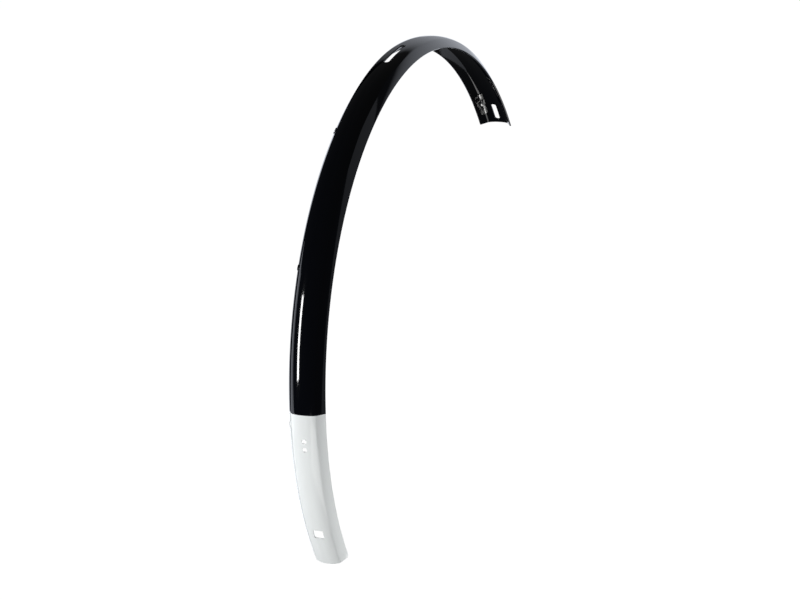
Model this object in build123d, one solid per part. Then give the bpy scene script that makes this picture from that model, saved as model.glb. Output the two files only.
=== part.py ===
"""Rear bicycle mudguard for a 28-inch wheel: a moulded plastic blade and a stamped cable clip.

Millimetres. X points forward, Y to the left and Z up, as the blade sits over the rear wheel.
The origin is the middle of the front fixing slot, on the crown's outer face.
Angles are counted round the wheel from the level behind its centre, up over the top to the front.
"""

import os
from math import copysign, cos, degrees, radians, sin, tan

from build123d import *

# Blade: the arc and its section
CROWN_RADIUS = 372.0
BLADE_WIDTH = 45.0
FOLD_WIDTH = 30.0
CROWN_RISE = 3.3
CROWN_FLAT = 3.0
FLANGE_DROP = 10.5
WALL = 2.0
FOLD_RADIUS = 5.8
TAIL_ANGLE = 7.7
FRONT_ANGLE = 183.4
FRONT_SLANT = 27.0
RIM_BEVEL = 0.4
CORNER_RADIUS = 5.0
CORNER_LAP = 0.02

# Front fixing slot, at the height of the wheel's centre
FRONT_SLOT_ANGLE = 180.0
FRONT_SLOT_LENGTH = 30.0
FRONT_SLOT_WIDTH = 6.5

# Long slot for the bridge behind the seat tube
BRIDGE_SLOT_ANGLE = 117.8
BRIDGE_SLOT_LENGTH = 60.0
BRIDGE_SLOT_WIDTH = 6.5

# Pair of round holes for a rear lamp
LAMP_ANGLE = 33.9
LAMP_HOLE_PITCH = 10.0
LAMP_HOLE_DIAMETER = 5.3

# Rectangular hole for a reflector near the tail
REFLECTOR_ANGLE = 15.3
REFLECTOR_HOLE_LENGTH = 12.0
REFLECTOR_HOLE_WIDTH = 12.0
REFLECTOR_HOLE_CORNER = 1.5

# Small tie hole beside the right fold
TIE_ANGLE = 170.7
TIE_OFFSET = -12.0
TIE_HOLE_DIAMETER = 3.0

# Round pads raised along the left flange, hollow behind
PAD_COUNT = 5
PAD_FIRST_ANGLE = 37.1
PAD_STEP = 28.1
PAD_DIAMETER = 8.0
PAD_RISE = 1.1
PAD_PLACE = 0.6
PAD_DRAFT = 30.0

# Stamped clip seated inside the left fold near the front end
CLIP_ANGLE = 176.95
CLIP_THICKNESS = 0.8
CLIP_SEAT_GAP = 0.03
CLIP_LENGTH = 40.0
CLIP_OFFSET = 1.8
CLIP_CORNER = 1.2
CLIP_NECK_LENGTH = 10.0
CLIP_NECK_WIDTH = 5.5
CLIP_EAR_LENGTH = 3.0
CLIP_BODY_LENGTH = 12.0
CLIP_BODY_WIDTH = 11.5
CLIP_LEG_WIDTH = 2.6
CLIP_LEG_SPREAD = 6.4
CLIP_TAB_DIAMETER = 9.6
CLIP_BAND_LENGTH = 4.6
CLIP_BAND_GAP = 0.6
CLIP_BAND_SPAN = 8.5
CLIP_BAND_HEIGHT = 3.6

AXLE = Vector(-CROWN_RADIUS, 0, 0)
CUT_DEPTH = 3 * (CROWN_RISE + WALL)


def wheel_axis():
    """Axis of the wheel, turned so that a positive sweep runs from the front back to the tail."""
    return Axis(AXLE, (0, -1, 0))


def crown_plane(angle):
    """Plane on the crown: x to the left, y back along the arc, z away from the wheel."""
    turn = radians(angle)
    outwards = Vector(-cos(turn), 0, sin(turn))
    return Plane(AXLE + outwards * CROWN_RADIUS, x_dir=(0, 1, 0), z_dir=outwards)


def swept(section, start_angle, end_angle):
    """A section drawn at the front slot's level, revolved round the wheel between two angles."""
    placed = section.rotate(wheel_axis(), FRONT_SLOT_ANGLE - end_angle)
    return revolve(placed, axis=wheel_axis(), revolution_arc=end_angle - start_angle)


def fold_corner(side):
    """Sharp corner of a fold before rounding: side is 1 on the left and -1 on the right."""
    return Vector(-CROWN_RISE, side * FOLD_WIDTH / 2)


def flange_tip(side):
    """Outer corner of a flange's free edge."""
    return Vector(-CROWN_RISE - FLANGE_DROP, side * BLADE_WIDTH / 2)


def blade_section():
    """Crowned face with two splayed flanges, as a wall of even thickness with bevelled rims."""
    with BuildLine() as outer:
        Line((0, -CROWN_FLAT / 2), (0, CROWN_FLAT / 2))
        for side in (-1, 1):
            TangentArc((0, side * CROWN_FLAT / 2), fold_corner(side), tangent=(0, side))
            Line(fold_corner(side), flange_tip(side))
        folds = [outer.vertices().sort_by_distance(fold_corner(side))[0] for side in (-1, 1)]
        fillet(folds, FOLD_RADIUS)
    wall = Face(outer.wires()[0].offset_2d(WALL, side=Side.LEFT, closed=True))
    rims = wall.vertices().sort_by(Axis.X)[:4]
    return chamfer(rims, RIM_BEVEL)


def left_fold_line(depth):
    """Line from the crown over the left fold to the flange, at a depth below the outer face."""
    with BuildLine() as outer:
        TangentArc((0, CROWN_FLAT / 2), fold_corner(1), tangent=(0, 1))
        Line(fold_corner(1), flange_tip(1))
        fold = outer.vertices().sort_by_distance(fold_corner(1))[0]
        fillet(fold, FOLD_RADIUS)
    return outer.wires()[0].offset_2d(depth, side=Side.LEFT, closed=False)


def fold_middle(depth):
    """Middle of the left fold at a depth below the outer face, and the way across it to the flange."""
    _, fold, _ = left_fold_line(depth).edges().sort_by(Axis.Y)
    across = fold % 0.5
    return fold @ 0.5, across * copysign(1, across.Y)


def flange_plane(angle, side, place):
    """Plane on a flange's outer face, its place a share of the way from fold to tip, z outwards."""
    run = flange_tip(side) - fold_corner(side)
    origin = fold_corner(side) + run * place
    slope = run.normalized() * side
    crown = crown_plane(angle)
    return Plane(
        crown.origin + crown.z_dir * origin.X + crown.x_dir * origin.Y,
        x_dir=crown.y_dir,
        z_dir=crown.z_dir * slope.Y - crown.x_dir * slope.X,
    )


def corner_waste(end_angle, side):
    """Waste outside a rounded corner of the blade's tail, square through the flange."""
    tip_radius = CROWN_RADIUS + flange_tip(side).X
    turn = degrees((CORNER_RADIUS - CORNER_LAP) / (tip_radius + CORNER_RADIUS))
    square = Pos(CORNER_RADIUS, 0) * Rectangle(2 * CORNER_RADIUS, 2 * CORNER_RADIUS)
    waste = square - Pos(0, side * (CORNER_RADIUS - CORNER_LAP)) * Circle(CORNER_RADIUS)
    plane = flange_plane(end_angle + turn, side, place=1)
    return extrude(plane * waste, amount=2 * WALL, both=True)


def front_waste():
    """Waste in front of the slanted cut across the front end, which stops the flanges short of the crown."""
    reach = 2 * (CROWN_RISE + FLANGE_DROP)
    block = Pos(0, -reach / 2, 0) * Box(2 * BLADE_WIDTH, reach, 2 * reach)
    return crown_plane(FRONT_ANGLE) * Rot(X=FRONT_SLANT) * block


def slot_cut(angle, length, width):
    """Straight slot through the crown, its length along the arc."""
    slot = crown_plane(angle) * SlotOverall(length, width, rotation=90)
    return extrude(slot, amount=CUT_DEPTH, both=True)


def round_cut(angle, diameter, left=0.0, back=0.0):
    """Round hole through the crown, square to the plane at its angle."""
    hole = crown_plane(angle) * Pos(left, back) * Circle(diameter / 2)
    return extrude(hole, amount=CUT_DEPTH, both=True)


def drafted_pad(plane, diameter, foot):
    """Round pad with drafted sides, from a foot below the plane to the pads' rise above it."""
    base = plane.offset(-foot) * Circle(diameter / 2 + foot * tan(radians(PAD_DRAFT)))
    return extrude(base, amount=foot + PAD_RISE, taper=PAD_DRAFT)


def make_blade():
    """Moulded blade with its slots, holes and pads."""
    blade = swept(blade_section(), TAIL_ANGLE, FRONT_ANGLE)
    for side in (-1, 1):
        blade -= corner_waste(TAIL_ANGLE, side)
    blade -= front_waste()

    blade -= slot_cut(FRONT_SLOT_ANGLE, FRONT_SLOT_LENGTH, FRONT_SLOT_WIDTH)
    blade -= slot_cut(BRIDGE_SLOT_ANGLE, BRIDGE_SLOT_LENGTH, BRIDGE_SLOT_WIDTH)
    for step in (-0.5, 0.5):
        blade -= round_cut(LAMP_ANGLE, LAMP_HOLE_DIAMETER, back=step * LAMP_HOLE_PITCH)
    blade -= round_cut(TIE_ANGLE, TIE_HOLE_DIAMETER, left=TIE_OFFSET)
    window = RectangleRounded(REFLECTOR_HOLE_WIDTH, REFLECTOR_HOLE_LENGTH, REFLECTOR_HOLE_CORNER)
    blade -= extrude(crown_plane(REFLECTOR_ANGLE) * window, amount=CUT_DEPTH, both=True)

    for index in range(PAD_COUNT):
        outside = flange_plane(PAD_FIRST_ANGLE + index * PAD_STEP, 1, PAD_PLACE)
        blade += drafted_pad(outside, PAD_DIAMETER, WALL / 2)
        blade -= drafted_pad(outside.offset(-WALL), PAD_DIAMETER - 2 * WALL, WALL)
    return blade


def clip_plane():
    """Plane on the clip's seat: x across the left fold to the flange, y back along the arc."""
    middle, across = fold_middle(WALL + CLIP_SEAT_GAP)
    crown = crown_plane(CLIP_ANGLE)
    origin = crown.origin + crown.z_dir * middle.X + crown.x_dir * middle.Y
    x_dir = crown.z_dir * across.X + crown.x_dir * across.Y
    return Plane(origin, x_dir=x_dir, z_dir=x_dir.cross(crown.y_dir))


def clip_blank():
    """Outline of the stamped sheet, rear end first: an ear on a neck, a windowed body, two legs and a round tab."""
    rear = CLIP_LENGTH / 2
    crown_side = CLIP_OFFSET - CLIP_BODY_WIDTH / 2
    body_middle = rear - CLIP_NECK_LENGTH - CLIP_BODY_LENGTH / 2
    tab_middle = CLIP_TAB_DIAMETER / 2 - rear
    neck_length = rear - body_middle
    neck = Pos(crown_side + CLIP_NECK_WIDTH / 2, rear - neck_length / 2) * Rectangle(CLIP_NECK_WIDTH, neck_length)
    ear = Pos(CLIP_OFFSET, rear - CLIP_EAR_LENGTH / 2) * Rectangle(CLIP_BODY_WIDTH, CLIP_EAR_LENGTH)
    body = Pos(CLIP_OFFSET, body_middle) * RectangleRounded(CLIP_BODY_WIDTH, CLIP_BODY_LENGTH, CLIP_CORNER)
    tab = Pos(CLIP_OFFSET, tab_middle) * Circle(CLIP_TAB_DIAMETER / 2)
    window = Pos(CLIP_OFFSET, body_middle) * Rectangle(CLIP_BAND_SPAN, CLIP_BAND_LENGTH + 2 * CLIP_BAND_GAP)
    leg_length = body_middle - CLIP_BODY_LENGTH / 2 + CLIP_CORNER - tab_middle
    blank = neck + ear + body + tab - window
    for side in (-1, 1):
        leg = Rectangle(CLIP_LEG_WIDTH, leg_length)
        blank += Pos(CLIP_OFFSET + side * CLIP_LEG_SPREAD / 2, tab_middle + leg_length / 2) * leg
    return blank, body_middle


def clip_sheet():
    """Section of the clip's sheet where it lies on the blade's inner face."""
    seat = left_fold_line(WALL + CLIP_SEAT_GAP)
    inside = left_fold_line(WALL + CLIP_SEAT_GAP + CLIP_THICKNESS)
    ends = [Edge.make_line(seat @ end, inside @ end) for end in (0, 1)]
    return make_face(seat.edges() + inside.edges() + ends)


def clip_band_section():
    """Section of the band raised over the fold, for a cable to run under."""
    middle, across = fold_middle(WALL + CLIP_SEAT_GAP + CLIP_THICKNESS / 2)
    inwards = Vector(-across.Y, across.X)
    seat = left_fold_line(WALL + CLIP_SEAT_GAP + CLIP_THICKNESS / 2)
    feet = []
    for side in (-1, 1):
        over = middle + across * (CLIP_OFFSET + side * CLIP_BAND_SPAN / 2)
        feet.append(seat.intersect(Axis(over, inwards))[0].center())
    top = (feet[0] + feet[1]) / 2 + inwards * CLIP_BAND_HEIGHT
    arch = Wire([Edge.make_three_point_arc(feet[0], top, feet[1])])
    return Face(arch.offset_2d(CLIP_THICKNESS / 2, side=Side.BOTH, closed=True))


def make_clip():
    """Stamped clip bent to the left fold, with its raised band."""
    reach = degrees(CLIP_LENGTH / CROWN_RADIUS)
    sheet = swept(clip_sheet(), CLIP_ANGLE - reach, CLIP_ANGLE + reach)
    blank, band_middle = clip_blank()
    clip = sheet & extrude(clip_plane() * blank, amount=FLANGE_DROP, both=True)
    band_angle = CLIP_ANGLE - degrees(band_middle / CROWN_RADIUS)
    half_band = degrees(CLIP_BAND_LENGTH / 2 / CROWN_RADIUS)
    return clip + swept(clip_band_section(), band_angle - half_band, band_angle + half_band)


def main():
    os.makedirs("parts", exist_ok=True)
    export_step(make_blade(), "parts/blade.step")
    export_step(make_clip(), "parts/cable_clip.step")


if __name__ == "__main__":
    main()
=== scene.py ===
"""Studio picture of a rear bicycle mudguard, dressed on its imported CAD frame.

Metres. X points forward, Y to the left and Z up, as the blade sits over the rear wheel. The wheel's
centre lies one crown radius behind the origin on the X axis. Turns are angles counted round the wheel
from the level behind its centre, up over the top to the front. Places are lengths measured along the
blade's section line from the middle of the crown, positive to the left.
"""

import logging
from dataclasses import dataclass, field
from enum import Enum
from functools import cached_property

import bpy
import numpy as np
from mathutils import Matrix, Quaternion, Vector


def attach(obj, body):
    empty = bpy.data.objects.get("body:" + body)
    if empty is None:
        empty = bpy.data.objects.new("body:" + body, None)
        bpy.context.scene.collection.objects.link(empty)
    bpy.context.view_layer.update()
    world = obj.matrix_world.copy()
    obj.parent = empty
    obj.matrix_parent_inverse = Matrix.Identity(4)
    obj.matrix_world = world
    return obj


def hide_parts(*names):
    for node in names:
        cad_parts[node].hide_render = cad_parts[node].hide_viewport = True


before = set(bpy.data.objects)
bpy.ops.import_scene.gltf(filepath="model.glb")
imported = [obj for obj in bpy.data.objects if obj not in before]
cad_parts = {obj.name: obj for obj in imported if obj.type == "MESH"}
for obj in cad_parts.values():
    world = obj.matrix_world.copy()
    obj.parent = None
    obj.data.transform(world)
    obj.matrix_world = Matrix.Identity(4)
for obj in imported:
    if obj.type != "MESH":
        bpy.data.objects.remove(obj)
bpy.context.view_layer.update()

MM = 0.001
CROWN_RADIUS = 372.0 * MM
NO_LENGTH = 1e-30
BODY = "root"
WHITE = (1.0, 1.0, 1.0)
COOL = (0.86, 0.90, 1.0)

Pair = tuple[float, float]
Triple = tuple[float, float, float]
Socket = bpy.types.NodeSocket
Value = Socket | float | tuple[float, ...]
Inputs = dict[str | int, Value]

log = logging.getLogger("mudguard")


def unit(vectors: np.ndarray) -> np.ndarray:
    """Rows brought to unit length, with a row of zeros left as it is."""
    return vectors / np.maximum(np.linalg.norm(vectors, axis=1, keepdims=True), NO_LENGTH)


class Skin(Enum):
    """The two faces of the blade's wall."""

    OUTER = 0
    INNER = 1


@dataclass(frozen=True)
class SectionLine:
    """Outer line of the blade's section, with its radial and lateral axes at the crown's middle.

    Half of it is a flat, a crown arc tangent to the flat that aims at the fold's sharp corner, a fold
    arc tangent to both neighbours, and a straight flange to the tip. The other half is its mirror image.
    """

    width: float = 45.0 * MM
    fold_width: float = 30.0 * MM
    rise: float = 3.3 * MM
    flat: float = 3.0 * MM
    drop: float = 10.5 * MM
    fold_radius: float = 5.8 * MM
    samples: int = 4001

    @cached_property
    def corner(self) -> np.ndarray:
        """Sharp corner of the left fold before rounding, as (radial, lateral)."""
        return np.array([-self.rise, self.fold_width / 2])

    @cached_property
    def tip(self) -> np.ndarray:
        """Outer corner of the left flange's free edge, as (radial, lateral)."""
        return np.array([-self.rise - self.drop, self.width / 2])

    @cached_property
    def slope(self) -> np.ndarray:
        """Unit vector down the left flange, from fold to tip."""
        return (self.tip - self.corner) / np.hypot(*(self.tip - self.corner))

    @cached_property
    def flange_normal(self) -> np.ndarray:
        """Unit vector out of the left flange: its slope turned by a right angle."""
        return np.array([self.slope[1], -self.slope[0]])

    @cached_property
    def crown_radius(self) -> float:
        """Radius of the crown arc: half of (span squared plus rise squared) over the rise."""
        span = self.corner[1] - self.flat / 2
        return (span**2 + self.rise**2) / (2 * self.rise)

    @cached_property
    def crown_centre(self) -> np.ndarray:
        """Centre of the crown arc, straight below the flat's end."""
        return np.array([-self.crown_radius, self.flat / 2])

    @cached_property
    def fold_centre(self) -> np.ndarray:
        """Centre of the fold arc.

        It lies one fold radius inside the flange's line, and the crown radius less the fold radius away
        from the crown's centre: a quadratic for the place along the flange, of which the first root holds.

        Returns:
            The centre, as (radial, lateral).
        """
        foot = self.corner - self.fold_radius * self.flange_normal - self.crown_centre
        along = foot @ self.slope
        reach = along**2 - foot @ foot + (self.crown_radius - self.fold_radius) ** 2
        return self.crown_centre + foot - (along + np.sqrt(reach)) * self.slope

    @cached_property
    def fold_turns(self) -> Pair:
        """Angles of the section's normal at the fold arc's start and end, from the radial axis."""
        lean = self.fold_centre - self.crown_centre
        return np.arctan2(lean[1], lean[0]), np.arctan2(self.flange_normal[1], self.flange_normal[0])

    @cached_property
    def flange_start(self) -> np.ndarray:
        """Point where the fold arc ends and the flange begins."""
        return self.fold_centre + self.fold_radius * self.flange_normal

    @cached_property
    def marks(self) -> tuple[float, float, float, float]:
        """Places where the flat, the crown arc, the fold arc and the flange end.

        Returns:
            The four places on the left half, in rising order.
        """
        start, end = self.fold_turns
        flat = self.flat / 2
        crown = flat + self.crown_radius * start
        fold = crown + self.fold_radius * (end - start)
        return flat, crown, fold, fold + np.hypot(*(self.tip - self.flange_start))

    def at(self, place: np.ndarray) -> tuple[np.ndarray, np.ndarray, np.ndarray]:
        """Points of the line.

        Each arc is its centre plus its radius times (cosine, sine) of the normal's angle, and the flange is
        its start plus its slope times the length that is left.

        Args:
            place: Signed lengths along the line from the middle of the crown.

        Returns:
            Radial offset, lateral offset and angle of the normal, one of each per place.
        """
        flat_end, crown_end, fold_end, _ = self.marks
        start, end = self.fold_turns
        length = np.abs(place)
        on_crown = np.clip((length - flat_end) / self.crown_radius, 0, start)
        on_fold = np.clip((length - crown_end) / self.fold_radius, 0, end - start)
        turn = on_crown + on_fold
        normal = np.stack([np.cos(turn), np.sin(turn)])
        flat = np.stack([np.zeros_like(length), length])
        crown = self.crown_centre[:, None] + self.crown_radius * normal
        fold = self.fold_centre[:, None] + self.fold_radius * normal
        flange = self.flange_start[:, None] + self.slope[:, None] * (length - fold_end)
        within = [length <= limit for limit in (flat_end, crown_end, fold_end)]
        point = np.select(within, [flat, crown, fold], flange)
        side = np.where(place < 0, -1.0, 1.0)
        return point[0], point[1] * side, turn * side

    def place_of(self, lateral: float) -> float:
        """Place on the line that lies at a lateral offset, read from the line itself.

        Args:
            lateral: Signed distance from the middle of the crown.

        Returns:
            The signed length along the line.
        """
        places = np.linspace(-self.marks[3], self.marks[3], self.samples)
        return float(np.interp(lateral, self.at(places)[1], places))


@dataclass(frozen=True)
class Opening:
    """Opening through the wall: a rectangle with rounded corners, so a slot, a hole or a window.

    Its middle lies at a turn, moved forward along the arc and sideways across it. The lean moves the
    inner outline sideways against the outer one.
    """

    turn: float
    length: float
    width: float
    corner: float
    lateral: float = 0.0
    forward: float = 0.0
    lean: float = 0.0

    @classmethod
    def slot(cls, turn: float, length: float, width: float) -> "Opening":
        """Slot with round ends."""
        return cls(turn, length, width, width / 2)

    @classmethod
    def hole(cls, turn: float, diameter: float, **offsets: float) -> "Opening":
        """Round hole."""
        return cls(turn, diameter, diameter, diameter / 2, **offsets)

    @property
    def half(self) -> np.ndarray:
        """Half of the length and half of the width."""
        return np.array([self.length, self.width]) / 2

    def outline(self, ring: np.ndarray, grow: float) -> np.ndarray:
        """Nearest outline points: the ring held to the core rectangle, plus a radius towards the ring.

        Args:
            ring: Points round the opening, as (along, across) from its middle.
            grow: Width of the rounded edge, by which the outline is set back.

        Returns:
            One outline point per ring point.
        """
        core = self.half - self.corner
        held = np.clip(ring, -core, core)
        return held + (self.corner + grow) * unit(ring - held)


@dataclass(frozen=True)
class PadForm:
    """Round pad raised on a flange and hollow behind, as rings from its foot to its top.

    The lifts are shares of the rise. The flare is what each ring adds to the drafted radius, for a soft
    foot and a soft shoulder.
    """

    radius: float = 4.0 * MM
    hollow: float = 2.0 * MM
    rise: float = 1.1 * MM
    draft: float = np.radians(30.0)
    lifts: tuple[float, ...] = (0.0, 0.05, 0.2, 0.5, 0.8, 0.95, 1.0, 1.0)
    flare_mm: tuple[float, ...] = (0.32, 0.12, 0.0, 0.0, 0.0, -0.04, -0.2, -0.8)

    def rings(self, skin: Skin) -> list[Pair]:
        """Rings of the drafted side: the radius shrinks by the lift times the draft's tangent.

        Args:
            skin: Outer for the pad itself, inner for the hollow behind it.

        Returns:
            Radius and lift of each ring.
        """
        foot = self.radius if skin is Skin.OUTER else self.hollow
        lifts = self.rise * np.array(self.lifts)
        radii = foot - lifts * np.tan(self.draft) + MM * np.array(self.flare_mm)
        return list(zip(radii, lifts))


@dataclass
class WallNet:
    """Net of nodes over the blade's wall: a grid of turns and places with openings and pads let into it.

    Each node keeps its turn, place and lift for both skins, and faces run the same way on both. The
    collar shares say how far from an opening's outline to the grid each ring of its collar lies.
    """

    turns: np.ndarray
    places: np.ndarray
    radius: float
    section: SectionLine
    collar_shares: tuple[float, ...] = (0.6, 0.3, 0.12, 0.0)
    nodes: list[np.ndarray] = field(default_factory=list)
    faces: list[np.ndarray] = field(default_factory=list)
    count: int = 0
    index: np.ndarray = field(init=False)
    free: np.ndarray = field(init=False)

    def __post_init__(self) -> None:
        """Number the crossings of the grid's lines, and leave every cell between them free."""
        rows, columns = len(self.turns), len(self.places)
        self.index = np.arange(rows * columns).reshape(rows, columns)
        self.free = np.ones((rows - 1, columns - 1), bool)

    def radius_at(self, place: float) -> float:
        """Distance of the outer face from the wheel's axle at a place."""
        return self.radius + float(self.section.at(np.array([place]))[0][0])

    def add(self, outer: np.ndarray, inner: np.ndarray) -> np.ndarray:
        """Append nodes.

        Args:
            outer: Turn, place and lift of each node on the outer skin.
            inner: The same on the inner skin.

        Returns:
            The new nodes' numbers.
        """
        self.nodes.append(np.stack([outer, inner]))
        start = self.count
        self.count += len(outer)
        return np.arange(start, self.count)

    def lay_grid(self, *skin_turns: np.ndarray) -> None:
        """Append the grid's own nodes, which come first.

        Args:
            *skin_turns: Turn of each crossing on the outer and the inner skin, with the ends cut.
        """
        place = np.broadcast_to(self.places, self.index.shape).ravel()
        lift = np.zeros(place.size)
        self.add(*(np.stack([turn.ravel(), place, lift], axis=1) for turn in skin_turns))

    @staticmethod
    def span(lines: np.ndarray, middle: float, reach: float) -> tuple[int, int]:
        """Numbers of the grid's lines next outside a stretch.

        Args:
            lines: Rising values of the lines.
            middle: The stretch's middle.
            reach: Half of its length.

        Returns:
            The last line before the stretch, and the first one past it or else the grid's last.
        """
        before = int(np.searchsorted(lines, middle - reach, "right")) - 1
        past = int(np.searchsorted(lines, middle + reach, "left"))
        return before, min(past, len(lines) - 1)

    def window(self, middle: Pair, reach: Pair | np.ndarray) -> tuple[np.ndarray, np.ndarray]:
        """Take a rectangle of cells out of the grid and read the ring of nodes round it.

        Args:
            middle: Turn and place of the rectangle's middle.
            reach: Half sizes along the arc and across it, rounded out to whole cells.

        Returns:
            Node numbers of the ring in order, and their (along, across) lengths from the middle.
        """
        scale = self.radius_at(middle[1])
        low_i, high_i = self.span(self.turns, middle[0], reach[0] / scale)
        low_j, high_j = self.span(self.places, middle[1], reach[1])
        self.free[low_i:high_i, low_j:high_j] = False
        ring = np.concatenate([
            self.index[low_i:high_i, low_j],
            self.index[high_i, low_j:high_j],
            self.index[high_i:low_i:-1, high_j],
            self.index[low_i, high_j:low_j:-1],
        ])
        turn, place = np.divmod(ring, len(self.places))
        along = (self.turns[turn] - middle[0]) * scale
        return ring, np.stack([along, self.places[place] - middle[1]], axis=1)

    def to_net(self, middle: Pair, local: np.ndarray, lift: float) -> np.ndarray:
        """Turn, place and lift of points given by their lengths along and across from a middle."""
        turn = middle[0] + local[:, 0] / self.radius_at(middle[1])
        return np.stack([turn, middle[1] + local[:, 1], np.full(len(local), lift)], axis=1)

    def belt(self, outside: np.ndarray, inside: np.ndarray) -> None:
        """Faces between two closed rings of equal length, the outside ring running anticlockwise."""
        after = np.roll(outside, -1), np.roll(inside, -1)
        self.faces.append(np.stack([outside, after[0], after[1], inside], axis=1))

    def let_in_opening(self, opening: Opening, grow: float, margin: float) -> None:
        """Cut an opening: rings shrink in straight lines from the grid's ring to the outline.

        Args:
            opening: The opening to cut.
            grow: Width of the rounded edge.
            margin: Width of the collar round the outline.
        """
        middle = (opening.turn + opening.forward / self.radius, self.section.place_of(opening.lateral))
        ring, local = self.window(middle, opening.half + grow + margin)
        outline = opening.outline(local, grow)
        lean = np.array([0.0, opening.lean])
        for share in self.collar_shares:
            outer = outline + share * (local - outline)
            inner = outer + (1 - share) * lean
            nodes = self.add(self.to_net(middle, outer, 0.0), self.to_net(middle, inner, 0.0))
            self.belt(ring, nodes)
            ring = nodes

    def let_in_pad(self, middle: Pair, form: PadForm, margin: float) -> None:
        """Raise a pad: rings at the form's radii and lifts, closed by a fan at the middle.

        Args:
            middle: Turn and place of the pad's middle.
            form: The pad's rings.
            margin: Width of the collar round the pad's foot.
        """
        outer_rings, inner_rings = (form.rings(skin) for skin in Skin)
        reach = outer_rings[0][0] + margin
        ring, local = self.window(middle, (reach, reach))
        away = unit(local)
        for (radius, lift), (hollow, hollow_lift) in zip(outer_rings, inner_rings):
            outer = self.to_net(middle, radius * away, lift)
            inner = self.to_net(middle, hollow * away, hollow_lift)
            nodes = self.add(outer, inner)
            self.belt(ring, nodes)
            ring = nodes
        peak = np.array([[*middle, form.rise]])
        hub = np.repeat(self.add(peak, peak), len(ring))
        self.faces.append(np.stack([ring, np.roll(ring, -1), hub, ring], axis=1))

    def close(self) -> tuple[np.ndarray, np.ndarray]:
        """Add the grid's free cells and drop nodes that no face uses.

        Returns:
            Nodes as (skin, node, turn-place-lift), and faces of four node numbers, of which a fan's have
            the first repeated.
        """
        cell_i, cell_j = np.nonzero(self.free)
        corners = [(0, 0), (1, 0), (1, 1), (0, 1)]
        self.faces.append(np.stack([self.index[cell_i + i, cell_j + j] for i, j in corners], axis=1))
        faces = np.concatenate(self.faces)
        used, renumbered = np.unique(faces, return_inverse=True)
        return np.concatenate(self.nodes, axis=1)[:, used], renumbered.reshape(faces.shape)


def free_edges(faces: np.ndarray, count: int) -> tuple[np.ndarray, np.ndarray]:
    """Directed edges that no neighbouring face runs the other way along.

    Args:
        faces: Faces of four node numbers; an edge of no length is skipped.
        count: Number of nodes.

    Returns:
        Start and end nodes of the free edges.
    """
    start, end = faces.ravel(), np.roll(faces, -1, axis=1).ravel()
    real = start != end
    start, end = start[real], end[real]
    alone = ~np.isin(start * count + end, end * count + start)
    return start[alone], end[alone]


def face_normals(points: np.ndarray, faces: np.ndarray) -> np.ndarray:
    """Normals at the points: the cross products of each face's diagonals, summed at its corners.

    Args:
        points: Points of the mesh.
        faces: Faces of four node numbers.

    Returns:
        A unit normal at each point.
    """
    a, b, c, d = points[faces.T]
    across = np.repeat(np.cross(c - a, d - b), faces.shape[1], axis=0)
    total = [np.bincount(faces.ravel(), part, len(points)) for part in across.T]
    return unit(np.stack(total, axis=1))


def mesh_object(name: str, points: np.ndarray, normals: np.ndarray, faces: np.ndarray) -> bpy.types.Object:
    """Smooth mesh object at the origin.

    Args:
        name: The object's name.
        points: Points in metres.
        normals: Normal at each point.
        faces: Faces of four node numbers, a triangle's with the first repeated.

    Returns:
        The object, linked into the scene.
    """
    triangles = faces[:, 0] == faces[:, 3]
    mesh = bpy.data.meshes.new(name)
    mesh.from_pydata(points.tolist(), [], faces[~triangles].tolist() + faces[triangles, :3].tolist())
    mesh.polygons.foreach_set("use_smooth", np.ones(len(mesh.polygons), bool))
    mesh.update()
    mesh.normals_split_custom_set_from_vertices(normals.tolist())
    piece = bpy.data.objects.new(name, mesh)
    bpy.context.scene.collection.objects.link(piece)
    return piece


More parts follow.
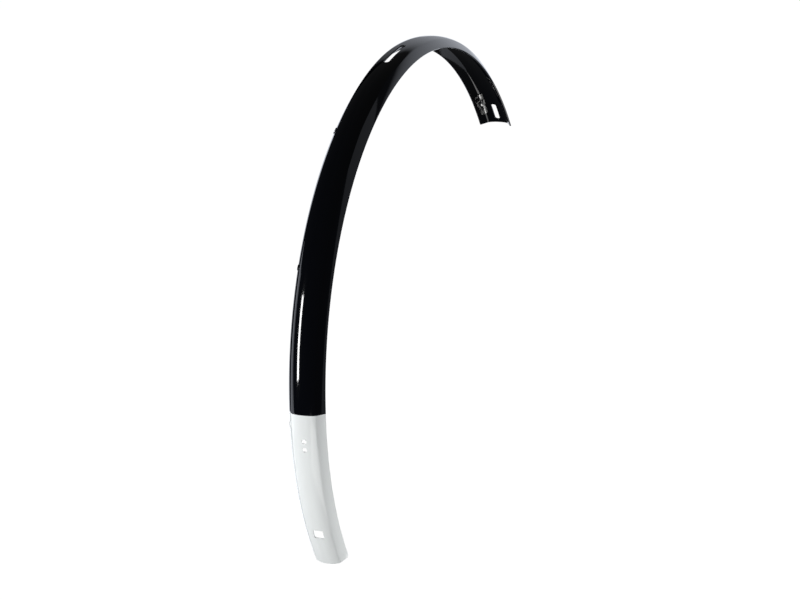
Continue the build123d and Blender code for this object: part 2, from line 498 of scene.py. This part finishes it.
class NodeBench:
    """Small helper that adds shader nodes to a material and links them."""

    MIX_SOCKETS = ("Factor_Float", "A_Color", "B_Color")
    MIX_RESULT = "Result_Color"
    NOISE_DETAIL = 3.0
    NOISE_MIDDLE = (0.25, 0.75)

    def __init__(self, name: str) -> None:
        """Start a node material with its own shader node.

        Args:
            name: The material's name.
        """
        self.material = bpy.data.materials.new(name)
        self.material.use_nodes = True
        self.tree = self.material.node_tree
        self.shader = self.tree.nodes["Principled BSDF"]

    def put(self, value: Value, target: Socket) -> None:
        """Link a socket to an input, or set a plain value on it.

        Args:
            value: The socket or the plain value.
            target: The input.
        """
        if isinstance(value, Socket):
            self.tree.links.new(value, target)
        else:
            target.default_value = value

    def fill(self, node: bpy.types.Node, values: Inputs) -> None:
        """Give a node's inputs their values, by name or by number."""
        for key, value in values.items():
            self.put(value, node.inputs[key])

    def add(self, kind: str, values: Inputs, **settings: str) -> bpy.types.Node:
        """Add a node.

        Args:
            kind: Blender's type name of the node.
            values: Sockets or plain values for its inputs, by name or by number.
            **settings: The node's own properties.

        Returns:
            The new node.
        """
        node = self.tree.nodes.new(kind)
        for key, setting in settings.items():
            setattr(node, key, setting)
        self.fill(node, values)
        return node

    def object_coordinates(self) -> Socket:
        """Coordinates of the piece itself, in metres."""
        return self.add("ShaderNodeTexCoord", {}).outputs["Object"]

    def reckon(self, operation: str, *values: Socket | float) -> Socket:
        """Result of a math node with the given inputs, in order."""
        return self.add("ShaderNodeMath", dict(enumerate(values)), operation=operation).outputs["Value"]

    def remap(self, value: Socket, before: Pair, after: Pair, way: str = "LINEAR") -> Socket:
        """Carry a value from one range over to another.

        Args:
            value: The running value.
            before: The two ends of its range.
            after: What they become.
            way: Blender's name of the course between the ends.

        Returns:
            The result's socket.
        """
        ends = dict(zip(("From Min", "From Max", "To Min", "To Max"), (*before, *after)))
        node = self.add("ShaderNodeMapRange", {"Value": value, **ends}, interpolation_type=way)
        return node.outputs["Result"]

    def fade(self, value: Socket, ends: Pair) -> Socket:
        """Smooth fall from one to nothing, between the two ends of the running value."""
        return self.remap(value, ends, (1.0, 0.0), "SMOOTHSTEP")

    def spread(self, noise: Socket, ends: Pair) -> Socket:
        """Spread the middle half of a noise value, where most of it lies, over a range."""
        return self.remap(noise, self.NOISE_MIDDLE, ends)

    def noise(self, grain: float, stretch: Triple = (1.0, 1.0, 1.0)) -> Socket:
        """Add noise over the piece.

        Args:
            grain: Grains per metre.
            stretch: Factor on the grain along each axis.

        Returns:
            The noise value's socket, from nothing to one.
        """
        places = {0: self.object_coordinates(), 1: stretch}
        scaled = self.add("ShaderNodeVectorMath", places, operation="MULTIPLY").outputs["Vector"]
        values = {"Vector": scaled, "Scale": grain, "Detail": self.NOISE_DETAIL}
        return self.add("ShaderNodeTexNoise", values).outputs[0]

    def blend(self, share: Socket, first: Triple, second: Triple) -> Socket:
        """Blend two colours.

        Args:
            share: Share of the second colour.
            first: Colour at a share of nothing.
            second: Colour at a share of one.

        Returns:
            The colour's socket.
        """
        node = self.add("ShaderNodeMix", {}, data_type="RGBA")
        sockets = {socket.identifier: socket for socket in node.inputs}
        for key, value in zip(self.MIX_SOCKETS, (share, (*first, 1.0), (*second, 1.0))):
            self.put(value, sockets[key])
        return next(socket for socket in node.outputs if socket.identifier == self.MIX_RESULT)

    def relief(self, value: Socket, height: float) -> Socket:
        """Add a fine relief.

        Args:
            value: Height value, from nothing to one.
            height: Height at one, in metres.

        Returns:
            The normal's socket.
        """
        values = {"Strength": 1.0, "Distance": height, "Height": value}
        return self.add("ShaderNodeBump", values).outputs["Normal"]

    def paint(self, values: Inputs) -> bpy.types.Material:
        """Give the shader's own sockets their values and hand over the material."""
        self.fill(self.shader, values)
        return self.material


@dataclass(frozen=True)
class GlossPlastic:
    """Glossy moulded plastic, black with a white field at the tail, faintly wavy and unevenly polished."""

    black: Triple = (0.0005, 0.0009, 0.0022)
    white: Triple = (0.88, 0.91, 0.905)
    field_turn: float = np.radians(39.48)
    roughness: Pair = (0.05, 0.09)
    polish_grain: float = 700.0
    wave_grain: float = 45.0
    wave_height: float = 0.03 * MM
    index: float = 1.46

    def material(self) -> bpy.types.Material:
        """Plastic whose colour changes at a plane through the wheel's axle.

        Returns:
            The blade's material.
        """
        bench = NodeBench("blade_gloss_plastic")
        sine, cosine = float(np.sin(self.field_turn)), float(np.cos(self.field_turn))
        plane = {0: bench.object_coordinates(), 1: (-sine, 0.0, -cosine)}
        reach = bench.add("ShaderNodeVectorMath", plane, operation="DOT_PRODUCT").outputs["Value"]
        in_field = bench.reckon("GREATER_THAN", reach, CROWN_RADIUS * sine)
        return bench.paint({
            "Base Color": bench.blend(in_field, self.black, self.white),
            "Roughness": bench.spread(bench.noise(self.polish_grain), self.roughness),
            "Normal": bench.relief(bench.noise(self.wave_grain), self.wave_height),
            "IOR": self.index,
        })


@dataclass(frozen=True)
class PlatedSteel:
    """Plated sheet steel with fine rolling marks along the sheet and a faint mottle in the plating."""

    bright: Triple = (0.50, 0.50, 0.49)
    dull: Triple = (0.34, 0.34, 0.335)
    mottle_grain: float = 420.0
    roughness: Pair = (0.19, 0.36)
    streak_grain: float = 900.0
    streak_stretch: Triple = (3.0, 3.0, 0.15)
    streak_depth: float = 0.004 * MM

    def material(self) -> bpy.types.Material:
        """Metal whose roughness and relief run in streaks, and whose colour follows the mottle.

        Returns:
            The clip's material.
        """
        bench = NodeBench("clip_plated_steel")
        streaks = bench.noise(self.streak_grain, self.streak_stretch)
        return bench.paint({
            "Metallic": 1.0,
            "Base Color": bench.blend(bench.noise(self.mottle_grain), self.dull, self.bright),
            "Roughness": bench.spread(streaks, self.roughness),
            "Normal": bench.relief(streaks, self.streak_depth),
        })


@dataclass
class Blade:
    """The moulded blade: one wall on a section line, carried round the wheel, with its openings and pads.

    The swell only leans the normals that it is shaded with. The steps, runs and collars only lay out its
    mesh, whose lines are a coarse or a fine step apart.
    """

    radius: float = CROWN_RADIUS
    wall: float = 2.0 * MM
    tail: float = np.radians(7.7)
    front: float = np.radians(183.4)
    front_slant: float = np.radians(27.0)
    corner: float = 5.0 * MM
    edge: float = 0.4 * MM
    swell: float = np.radians(5.0)
    section: SectionLine = SectionLine()
    front_slot: Opening = Opening.slot(np.radians(180.0), 30.0 * MM, 6.5 * MM)
    bridge_slot: Opening = Opening.slot(np.radians(117.8), 60.0 * MM, 6.5 * MM)
    lamp_holes: tuple[Opening, Opening] = (
        Opening.hole(np.radians(33.9), 5.3 * MM, forward=-5.0 * MM),
        Opening.hole(np.radians(33.9), 5.3 * MM, forward=5.0 * MM),
    )
    reflector_window: Opening = Opening(np.radians(15.3), 12.0 * MM, 12.0 * MM, 1.5 * MM)
    tie_hole: Opening = Opening.hole(np.radians(170.7), 3.0 * MM, lateral=-12.0 * MM, lean=-0.8 * MM)
    pad: PadForm = PadForm()
    pad_count: int = 5
    first_pad: float = np.radians(37.1)
    pad_pitch: float = np.radians(28.1)
    pad_from_tip: float = 5.16 * MM
    coarse: float = 4.0 * MM
    fine: float = 0.7 * MM
    flat_steps: int = 2
    crown_steps: int = 13
    fold_steps: int = 9
    flange_steps: int = 8
    corner_steps: int = 6
    edge_steps: int = 3
    end_run: float = 5.0 * MM
    run_ratio: float = 3.0
    collar: float = 1.2 * MM
    pad_collar: float = 0.5 * MM

    @property
    def openings(self) -> tuple[Opening, ...]:
        """Every opening through the wall."""
        return self.front_slot, self.bridge_slot, *self.lamp_holes, self.reflector_window, self.tie_hole

    @property
    def pad_turns(self) -> np.ndarray:
        """Turns of the pads' middles, at an even pitch."""
        return self.first_pad + self.pad_pitch * np.arange(self.pad_count)

    def turn_lines(self) -> np.ndarray:
        """Turns of the grid's lines: fine steps beside openings and pads, coarse steps between them.

        Returns:
            The turns in rising order.
        """
        zones = [(o.turn + o.forward / self.radius, o.half[0] + 2 * self.collar) for o in self.openings]
        zones += [(turn, self.pad.radius + self.collar) for turn in self.pad_turns]
        middle, reach = np.array(zones).T
        low, high = middle - reach / self.radius, middle + reach / self.radius
        ends = [self.tail + self.edge / self.radius, self.front - self.edge / self.radius]
        stops = np.unique(np.clip(np.concatenate([ends, low, high]), *ends))
        lines = []
        for start, stop in zip(stops[:-1], stops[1:]):
            half_way = (start + stop) / 2
            inside = np.any((low < half_way) & (half_way < high))
            steps = int(np.ceil((stop - start) * self.radius / (self.fine if inside else self.coarse)))
            lines.append(np.linspace(start, stop, steps, endpoint=False))
        return np.concatenate([*lines, stops[-1:]])

    def place_lines(self) -> np.ndarray:
        """Places of the grid's lines: even on each stretch, then on the rounded corner's own angles.

        Returns:
            The places in rising order, from the right tip to the left one.
        """
        flat, crown, fold, tip = self.section.marks
        angles = np.linspace(np.pi / 2, 0, self.corner_steps + 1)
        last = tip - self.edge - (self.corner - self.edge) * (1 - np.cos(angles))
        stops = (0.0, flat, crown, fold, last[0])
        steps = (self.flat_steps, self.crown_steps, self.fold_steps, self.flange_steps)
        even = [np.linspace(*ends, endpoint=False) for ends in zip(stops, stops[1:], steps)]
        half = np.concatenate([*even, last])
        return np.concatenate([-half[:0:-1], half])

    def cut_ends(self, turns: np.ndarray, places: np.ndarray, skin: Skin) -> np.ndarray:
        """Turns of the grid's crossings with both ends cut: lines are drawn in, less and less inwards.

        At the tail each place is drawn in by the corner circle's sagitta. The front cut is a plane that
        leans by the slant, so a point at a radius r is drawn in by arcsin(R sin(slant) / r) - slant, where
        R is the crown's radius.

        Args:
            turns: Turns of the grid's lines.
            places: Places of the grid's lines.
            skin: The face of the wall that the grid lies on.

        Returns:
            Turn of every crossing.
        """
        bend = self.corner - self.edge
        inset = np.clip(bend - (self.section.marks[3] - self.edge - np.abs(places)), 0, bend)
        tail_draw = bend - np.sqrt(bend**2 - inset**2)
        radial, _, lean = self.section.at(places)
        reach = self.radius + radial - (self.wall * np.cos(lean) if skin is Skin.INNER else 0.0)
        lean_back = np.arcsin(self.radius * np.sin(self.front_slant) / reach) - self.front_slant
        turn = np.repeat(turns[:, None], len(places), axis=1)
        for end, way, draw in ((turns[0], 1, tail_draw), (turns[-1], -1, lean_back * self.radius)):
            along = way * (turns[:, None] - end) * self.radius
            run = np.maximum(self.end_run, self.run_ratio * draw)
            turn = turn + way * draw * np.clip(1 - along / run, 0, 1) / self.radius
        return turn

    @staticmethod
    def facing(turn: np.ndarray, lean: np.ndarray) -> np.ndarray:
        """Outward normals: the cosine of the lean along the radius, its sine along the axle."""
        return np.stack([-np.cos(lean) * np.cos(turn), np.sin(lean), np.cos(lean) * np.sin(turn)], axis=1)

    def surface(
        self, turn: np.ndarray, place: np.ndarray, depth: np.ndarray
    ) -> tuple[np.ndarray, np.ndarray]:
        """Points below the outer face.

        Each is the section's point less the depth times the section's normal, turned round the wheel.

        Args:
            turn: Angles round the wheel.
            place: Places on the section line.
            depth: Depths below the outer face.

        Returns:
            Points and outward normals.
        """
        radial, lateral, lean = self.section.at(place)
        reach = self.radius + radial - depth * np.cos(lean)
        across = lateral - depth * np.sin(lean)
        point = np.stack([-self.radius - reach * np.cos(turn), across, reach * np.sin(turn)], axis=1)
        return point, self.facing(turn, lean)

    def shading(self, turn: np.ndarray, place: np.ndarray) -> np.ndarray:
        """Normals to shade with: a flange swells faintly, leaning less at the fold and more at the tip.

        Args:
            turn: Angles round the wheel.
            place: Places on the section line.

        Returns:
            Outward normals.
        """
        swell = np.interp(np.abs(place), self.section.marks[1:], (0.0, -self.swell, self.swell))
        return self.facing(turn, self.section.at(place)[2] + np.sign(place) * swell)

    def net(self) -> tuple[np.ndarray, np.ndarray]:
        """Nodes and faces of the wall, with every opening and pad let in.

        Returns:
            Nodes as (skin, node, turn-place-lift), and faces of four node numbers.
        """
        turns, places = self.turn_lines(), self.place_lines()
        net = WallNet(turns, places, self.radius, self.section)
        net.lay_grid(*(self.cut_ends(turns, places, skin) for skin in Skin))
        for opening in self.openings:
            net.let_in_opening(opening, self.edge, self.collar)
        pad_place = self.section.marks[3] - self.pad_from_tip
        for turn in self.pad_turns:
            net.let_in_pad((turn, pad_place), self.pad, self.pad_collar)
        return net.close()

    def rim(self, line: np.ndarray, facing: np.ndarray, away: np.ndarray) -> tuple[np.ndarray, np.ndarray]:
        """Quarter round along a skin's free edge.

        At each angle the normal is its sine times the way out of the wall plus its cosine times the skin's
        normal, and the point is the edge's own plus the radius times the change of the normal.

        Args:
            line: Points of the free edge.
            facing: Unit normals of the skin there.
            away: Unit vectors that lead out of the wall there.

        Returns:
            Points and normals, each a row along the edge per angle, from the skin on.
        """
        angles = np.linspace(0, np.pi / 2, self.edge_steps + 1)[1:, None, None]
        normals = np.sin(angles) * away + np.cos(angles) * facing
        return line + self.edge * (normals - facing), normals

    def shell(self) -> tuple[np.ndarray, np.ndarray, np.ndarray]:
        """Both skins and the rounded edges between them, as one closed surface.

        Along every free edge the outer and inner skins each end in a quarter round, and the two meet on a
        flat land.

        Returns:
            Points, normals and faces of four node numbers.
        """
        nodes, faces = self.net()
        turn, place, lift = np.moveaxis(nodes, 2, 0)
        outer, up = self.surface(turn[0], place[0], -lift[0])
        inner, up_in = self.surface(turn[1], place[1], self.wall - lift[1])
        count = len(outer)
        start, end = free_edges(faces, count)
        # Free edges go by their start: the number of the edge that follows each, and the node before it.
        number = np.zeros(count, int)
        number[start] = np.arange(len(start))
        following = number[end]
        before = start[np.argsort(following)]
        point_rows = [outer, inner]
        normal_rows = [self.shading(turn[0], place[0]), -self.shading(turn[1], place[1])]
        for skin, facing, order in ((outer, up, 1), (inner, -up_in, -1)):
            away = unit(np.cross(skin[end] - skin[before], up[start]))
            rim_points, rim_normals = self.rim(skin[start], facing[start], away)
            point_rows.extend(rim_points[::order])
            normal_rows.extend(rim_normals[::order])
        points, normals = np.concatenate(point_rows), np.concatenate(normal_rows)
        rim_rows = np.arange(2 * count, len(points)).reshape(-1, len(start))
        rows = [start, *rim_rows, start + count]
        bands = [np.stack([a[following], a, b, b[following]], axis=1) for a, b in zip(rows, rows[1:])]
        faces = np.concatenate([faces, faces[:, ::-1] + count, *bands])
        raised = np.flatnonzero(lift.ravel() > 0)
        normals[raised] = face_normals(points, faces)[raised]
        return points, normals, faces

    def build(self) -> bpy.types.Object:
        """Make the blade's object and let it stand for its CAD node.

        Returns:
            The object, still without its material.
        """
        points, normals, faces = self.shell()
        piece = mesh_object("blade_moulding", points, normals, faces)
        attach(piece, BODY)
        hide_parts("blade")
        return piece

    def dress(self, piece: bpy.types.Object, finish: GlossPlastic) -> None:
        """Give the blade its plastic."""
        piece.data.materials.append(finish.material())


@dataclass
class CableClip:
    """The stamped clip inside the left fold, which keeps its CAD node."""

    node: str = "cable_clip"

    def dress(self, finish: PlatedSteel) -> None:
        """Give the clip its steel.

        Args:
            finish: The steel.
        """
        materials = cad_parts[self.node].data.materials
        materials.clear()
        materials.append(finish.material())


@dataclass(frozen=True)
class Softbox:
    """Rectangular lamp that faces a point, given by its width, height and even brightness.

    Its height runs as near to the upright as it can.
    """

    name: str
    place: Triple
    aim: Triple
    size: Pair
    brightness: float
    upright: Triple = (0.838, 0.0, 0.546)
    tint: Triple = WHITE

    def light(self) -> None:
        """Add the lamp: its power is pi times its area times its brightness."""
        data = bpy.data.lights.new(self.name, "AREA")
        data.shape = "RECTANGLE"
        data.size, data.size_y = self.size
        data.color = self.tint
        data.energy = float(np.pi) * self.size[0] * self.size[1] * self.brightness
        lamp = bpy.data.objects.new(self.name, data)
        back = (Vector(self.place) - Vector(self.aim)).normalized()
        right = Vector(self.upright).cross(back).normalized()
        turn = Matrix((right, back.cross(right), back)).transposed()
        lamp.matrix_world = Matrix.Translation(self.place) @ turn.to_4x4()
        bpy.context.scene.collection.objects.link(lamp)


@dataclass
class Studio:
    """Pale floor, even surroundings, softboxes and the camera.

    The floor's near edge is a slanted line, given by its ends on the right and on the left. The floor is
    bright where the camera sees it, and fades out to the left and far away, so that the blade's gloss shows
    soft tones. The far fade runs over the decimal logarithm of the distance.
    """

    floor_height: float = -5.0
    floor_half_width: float = 120.0
    floor_near: Pair = (18.58, -14.78)
    floor_far: float = 260.0
    floor_colour: Triple = (0.95, 0.95, 0.95)
    floor_beyond: Triple = (0.03, 0.03, 0.03)
    floor_roughness: float = 0.9
    floor_glow: float = 0.95
    floor_gloss: Triple = (0.95, 1.0, 1.11)
    near_edge: Pair = (5.4, 9.0)
    left_edge: Pair = (3.35, 5.4)
    left_slant: float = 0.43
    side_fade: Pair = (-0.15, 0.85)
    far_fade: Pair = (0.95, 2.4)
    surround: float = 0.04
    camera_place: Triple = (-1.81608, -0.96274, 2.11839)
    camera_aim: Triple = (-0.39211, 0.0, 0.09410)
    camera_roll: float = np.radians(-22.797)
    camera_lens: float = 97.41
    camera_reach: float = 50.0
    lamps: tuple[Softbox, ...] = (
        Softbox("lamp_key", (-1.69, 1.42, 1.55), (-0.56, 0.0, 0.30), (0.31, 1.14), 36.0),
        Softbox("lamp_rim", (0.44, -1.78, -0.62), (-0.55, 0.0, 0.20), (1.10, 0.80), 16.0),
        Softbox("lamp_back", (-2.64, -0.93, 0.02), (-0.65, 0.0, 0.10), (2.60, 1.15), 2.4),
        Softbox("lamp_under", (-0.89, -0.87, -1.50), (0.0, 0.0, 0.08), (0.95, 0.90), 2.2),
        Softbox("card_left", (-0.86, 2.20, 0.04), (-0.86, 0.0, 0.04), (1.80, 1.80), 1.66, tint=COOL),
        Softbox("card_right", (0.50, -2.00, 0.33), (0.50, 0.0, 0.33), (1.10, 3.60), 0.277, tint=COOL),
        Softbox(
            "card_low", (0.0, -1.51, -5.0), (0.0, -1.51, 0.0), (1.96, 2.20), 0.35, (0.944, 0.330, 0.0), COOL
        ),
    )

    def floor_paper(self) -> bpy.types.Material:
        """Matt paper that glows to the eye and in reflections, and otherwise only takes light.

        With a ahead and b to the left, the glow is the larger of a fall with a and a fall with b / a, times
        a fall with b less the slant times a, times a fall with the distance.

        Returns:
            The floor's material.
        """
        bench = NodeBench("floor_paper")
        ray = bench.add("ShaderNodeLightPath", {}).outputs
        seen = bench.reckon("MAXIMUM", ray["Is Camera Ray"], ray["Is Glossy Ray"])
        seen = bench.reckon("MAXIMUM", seen, ray["Is Transmission Ray"])
        place = bench.object_coordinates()
        axes = bench.add("ShaderNodeSeparateXYZ", {0: place}).outputs
        ahead, aside = axes["X"], axes["Y"]
        distance = bench.add("ShaderNodeVectorMath", {0: place}, operation="LENGTH").outputs["Value"]
        past_slant = bench.reckon("SUBTRACT", aside, bench.reckon("MULTIPLY", ahead, self.left_slant))
        near = bench.fade(ahead, self.near_edge)
        side = bench.fade(bench.reckon("DIVIDE", aside, ahead), self.side_fade)
        edge = bench.fade(past_slant, self.left_edge)
        far = bench.fade(bench.reckon("LOGARITHM", distance, 10.0), self.far_fade)
        glow = bench.reckon("MAXIMUM", near, side)
        for factor in (edge, far, self.floor_glow, seen):
            glow = bench.reckon("MULTIPLY", glow, factor)
        return bench.paint({
            "Base Color": bench.blend(edge, self.floor_beyond, self.floor_colour),
            "Roughness": self.floor_roughness,
            "Specular IOR Level": 0.0,
            "Emission Color": bench.blend(ray["Is Camera Ray"], self.floor_gloss, WHITE),
            "Emission Strength": glow,
        })

    def lay_floor(self) -> None:
        """Add the flat floor, which is not part of the object."""
        (near_right, near_left), far, half = self.floor_near, self.floor_far, self.floor_half_width
        outline = [(near_right, -half), (far, -half), (far, half), (near_left, half)]
        mesh = bpy.data.meshes.new("floor")
        mesh.from_pydata([(*corner, self.floor_height) for corner in outline], [], [(0, 1, 2, 3)])
        mesh.materials.append(self.floor_paper())
        floor = bpy.data.objects.new("floor", mesh)
        bpy.context.scene.collection.objects.link(floor)

    def light(self) -> None:
        """Set the surroundings and add the softboxes."""
        world = bpy.data.worlds.new("surround")
        world.use_nodes = True
        background = world.node_tree.nodes["Background"]
        background.inputs["Color"].default_value = (*WHITE, 1.0)
        background.inputs["Strength"].default_value = self.surround
        bpy.context.scene.world = world
        for lamp in self.lamps:
            lamp.light()

    def stand_camera(self) -> None:
        """Stand the camera at the photograph's viewpoint."""
        data = bpy.data.cameras.new("camera")
        data.lens = self.camera_lens
        data.clip_end = self.camera_reach
        camera = bpy.data.objects.new("camera", data)
        camera.location = self.camera_place
        way = Vector(self.camera_aim) - Vector(self.camera_place)
        turn = way.to_track_quat("-Z", "Y") @ Quaternion((0, 0, 1), self.camera_roll)
        camera.rotation_euler = turn.to_euler()
        bpy.context.scene.collection.objects.link(camera)
        bpy.context.scene.camera = camera

    def set_up(self) -> None:
        """Lay the floor, light it and stand the camera."""
        self.lay_floor()
        self.light()
        self.stand_camera()
        bpy.context.scene.view_settings.view_transform = "Standard"


def main() -> None:
    """Build and dress each piece in order, then set up the studio."""
    logging.basicConfig(level=logging.INFO, format="%(name)s: %(message)s")
    blade = Blade()
    moulding = blade.build()
    blade.dress(moulding, GlossPlastic())
    mesh = moulding.data
    log.info("%s: %d points, %d faces", moulding.name, len(mesh.vertices), len(mesh.polygons))
    clip = CableClip()
    clip.dress(PlatedSteel())
    log.info("%s dressed", clip.node)
    Studio().set_up()
    log.info("studio set up")


if __name__ == "__main__":
    main()
